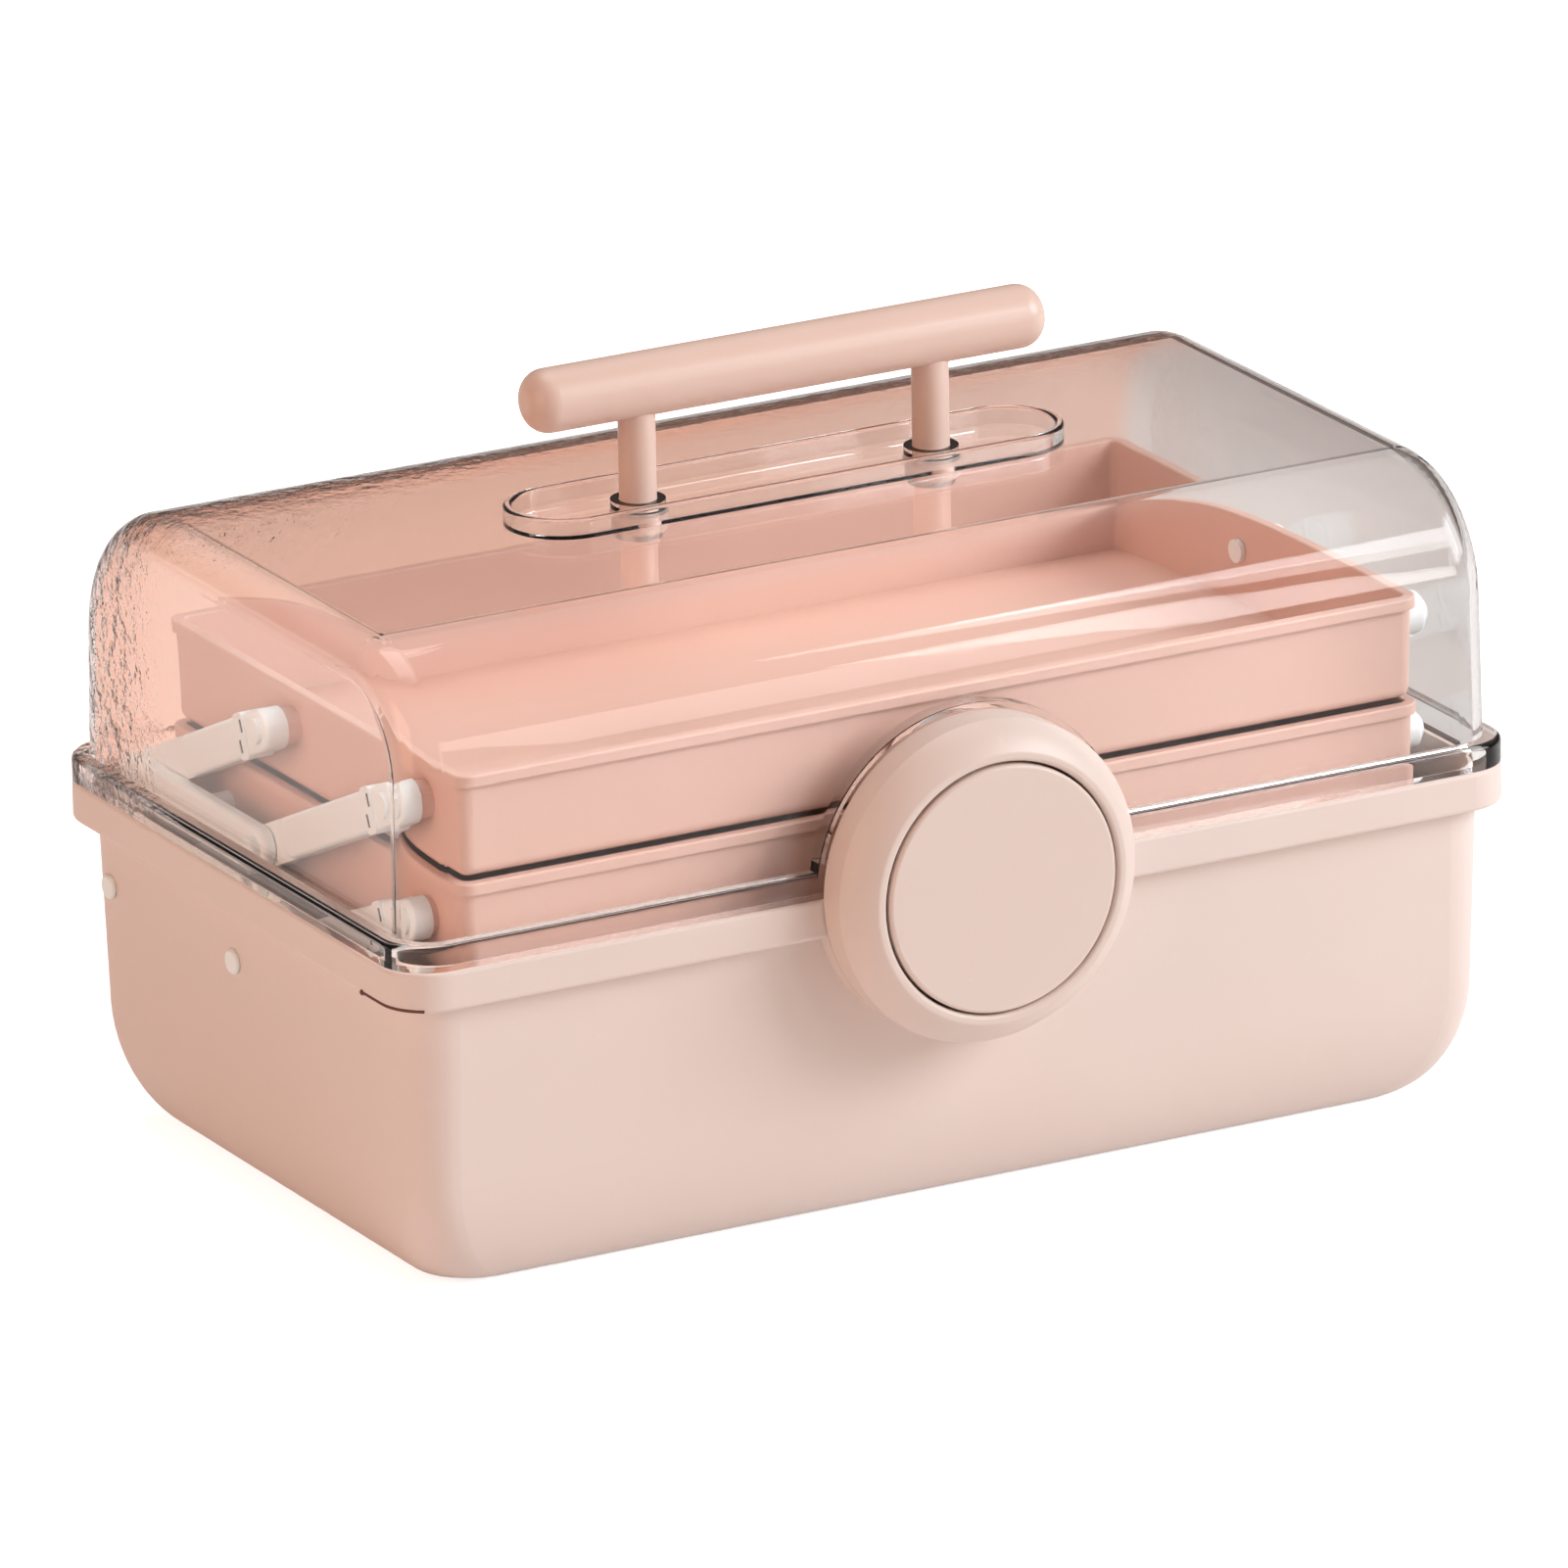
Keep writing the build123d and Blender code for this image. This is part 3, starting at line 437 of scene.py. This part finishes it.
def paint_rim_corner_shadow():
    """Painted shadow: a fine dark red line under the rim at the front left corner, with a round end.
    """
    centre = Vector(SHADOW_LINE_CENTRE) * MM
    start = centre + Vector((-SHADOW_LINE_BEND, 0.0, 0.0)) * MM
    run = Vector((0.0, SHADOW_LINE_RUN, 0.0)) * MM
    mesh = bmesh.new()
    turn = Matrix.Translation(start) @ Matrix.Rotation(math.radians(90.0), 4, "X")
    bmesh.ops.create_circle(mesh, segments=10, radius=SHADOW_LINE_RADIUS * MM, matrix=turn)
    loop = mesh.edges[:]
    bmesh.ops.spin(mesh, geom=loop, cent=centre, axis=(0.0, 0.0, 1.0),
                   angle=math.radians(SHADOW_LINE_SWEEP), steps=9)
    straight = bmesh.ops.extrude_edge_only(mesh, edges=loop)["geom"]
    moved = [v for v in straight if isinstance(v, bmesh.types.BMVert)]
    bmesh.ops.translate(mesh, verts=moved, vec=run)
    close_ends(mesh)
    bmesh.ops.create_uvsphere(mesh, u_segments=12, v_segments=8, radius=SHADOW_LINE_DOT * MM,
                              matrix=Matrix.Translation(start + run))
    dark = plastic("rim_shadow_paint_red", SHADOW_LINE_RED, satin=0.45, wear=0.1)
    new_piece("rim_corner_shadow_line", "base", dark, mesh)


def paint_collar_slot_shade():
    """Painted shade: dark bars in the two slots of each arm collar."""
    dark = plastic("slot_shade_matt", RECESS_SHADE_DARK, satin=0.5, wear=0.1)
    for body, low_pivot, high_pivot, face in COLLARS:
        run = Vector(low_pivot) - Vector(high_pivot)
        band = Vector(high_pivot) + run.normalized() * SLOT_FROM_PIVOT
        turn = Matrix.Rotation(math.atan2(run.y, run.x), 4, "X")
        mesh = bmesh.new()
        for side in SIDES:
            for rise in (-SLOT_RISE, SLOT_RISE):
                place = Vector((side * (face + SLOT_PROUD), band.x, band.y + rise)) * MM
                soft_box(mesh, Matrix.Translation(place) @ turn, SLOT_SIZE, SLOT_BEVEL)
        new_piece(body + "_painted_slot_shade", body, dark, mesh)


def return_spring():
    """The latch's coil spring."""
    mesh = bmesh.new()
    axis_point = Vector((0.0, 0.0, SPRING_AXIS_Z)) * MM
    start = Vector((0.0, SPRING_START_Y, SPRING_AXIS_Z + SPRING_RADIUS)) * MM
    turn = Matrix.Translation(start) @ Matrix.Rotation(math.radians(90.0), 4, "Y")
    bmesh.ops.create_circle(mesh, segments=12, radius=SPRING_WIRE * MM, matrix=turn)
    bmesh.ops.spin(mesh, geom=mesh.edges[:], cent=axis_point, axis=(0.0, -1.0, 0.0),
                   angle=math.radians(360.0 * SPRING_TURNS), steps=SPRING_STEPS,
                   dvec=Vector((0.0, -SPRING_LENGTH, 0.0)) * MM / SPRING_STEPS)
    close_ends(mesh)
    spring = new_piece("return_spring", "base", MATERIALS["steel"], mesh)
    for face in spring.data.polygons:
        face.use_smooth = True
    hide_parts("latch_spring")
    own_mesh(spring)


def paint_recess_shade():
    """Painted shade: dark crosses for the recesses in the heads of the latch, carrier and handle
    screws.
    """
    dark = plastic("screw_cross_shade", RECESS_SHADE_DARK, satin=0.4, wear=0.1)
    latch_face, foot_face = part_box("latch_screws")[1][1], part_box("handle_screws")[0][2]
    heads = (
        ("latch_screws", "base", "Y", (LATCH_SCREW_X * MM, latch_face, LATCH_SCREW_Z * MM)),
        ("carrier_screws", "middle_tray", "X", Vector(CARRIER_SCREW) * MM),
        ("handle_screws", "handle", "Z", (HANDLE_SCREW_X * MM, HANDLE_SCREW_Y * MM, foot_face)),
    )
    for name, body, axis, (x, y, z) in heads:
        mesh = bmesh.new()
        for side in SIDES:
            for angle in CROSS_ANGLES:
                turn = Matrix.Rotation(math.radians(angle), 4, axis)
                place = Matrix.Translation((side * x, y, z)) @ turn
                soft_box(mesh, place, CROSS_BARS[axis], CROSS_BEVEL)
        new_piece(name + "_cross_shade_paint", body, dark, mesh)


def white_floor():
    """A white floor that keeps the shadow."""
    material = bpy.data.materials.new("floor_white")
    material.use_nodes = True
    sheet = Sheet(material.node_tree)
    shader = sheet.find("BSDF_PRINCIPLED")
    shader.inputs["Base Color"].default_value = FLOOR_WHITE
    shader.inputs["Roughness"].default_value = FLOOR_ROUGH
    shader.inputs["Specular IOR Level"].default_value = 0.0
    shader.inputs["Emission Color"].default_value = WHITE
    camera, mirrored, first = sheet.ray_masks()
    seen = sheet.math("MAXIMUM", camera, sheet.times(mirrored, FLOOR_MIRRORED))
    glow = sheet.times(sheet.times(seen, first), FLOOR_GLOW)
    sheet.join(glow, shader.inputs["Emission Strength"])
    mesh = bmesh.new()
    bmesh.ops.create_grid(mesh, x_segments=1, y_segments=1, size=FLOOR_SIZE)
    floor = new_object("floor", mesh, material)
    floor.location.z = FLOOR_Z


def pale_room():
    """White to the camera. What the plastic mirrors has a white foot, brown walls and a pale top."""
    world = bpy.data.worlds.new("pale_room")
    scene.world = world
    world.use_nodes = True
    sheet = Sheet(world.node_tree)
    camera, mirrored, first = sheet.ray_masks()
    height = sheet.axes(sheet.place("Generated"))["Z"]
    wall = sheet.blend(sheet.spread(height, WALL_SPAN), WHITE, WALL_BROWN)
    room = sheet.blend(sheet.spread(height, CEILING_SPAN), wall, CEILING_PALE)
    lit = sheet.blend(sheet.times(mirrored, first), ROOM_GLOW, room)
    sheet.join(sheet.blend(camera, lit, WHITE), sheet.find("BACKGROUND").inputs["Color"])


def lamp(name, place, width, height, power, colour):
    """A soft box aimed at the middle of the case."""
    data = bpy.data.lights.new(name, "AREA")
    data.shape = "RECTANGLE"
    data.size, data.size_y = width, height
    data.energy = power
    data.color = colour
    light = bpy.data.objects.new(name, data)
    light.location = place
    aim = Vector(LAMP_AIM) - Vector(place)
    light.rotation_euler = aim.to_track_quat("-Z", "Y").to_euler()
    scene.collection.objects.link(light)


def view_camera():
    """The photograph's long-lens view from the front left."""
    back = Vector(VIEW_BACK).normalized()
    right = Vector((0.0, 0.0, 1.0)).cross(back).normalized()
    up = back.cross(right)
    roll = math.radians(VIEW_ROLL)
    across = right * math.cos(roll) + up * math.sin(roll)
    upward = up * math.cos(roll) - right * math.sin(roll)
    data = bpy.data.cameras.new("photo_view")
    data.sensor_width = SENSOR_WIDTH
    data.lens = FOCAL_PIXELS / PHOTO_PIXELS * SENSOR_WIDTH
    data.shift_x, data.shift_y = SHIFT_PIXELS_X / PHOTO_PIXELS, SHIFT_PIXELS_Y / PHOTO_PIXELS
    camera = bpy.data.objects.new("photo_view", data)
    place = Matrix.Translation(Vector(VIEW_TARGET) + back * VIEW_DISTANCE)
    camera.matrix_world = place @ Matrix((across, upward, back)).transposed().to_4x4()
    scene.collection.objects.link(camera)
    scene.camera = camera


paint_rim_corner_shadow()
paint_collar_slot_shade()
return_spring()
paint_recess_shade()
white_floor()
pale_room()
for row in LAMPS:
    lamp(*row)
view_camera()

bpy.context.view_layer.update()
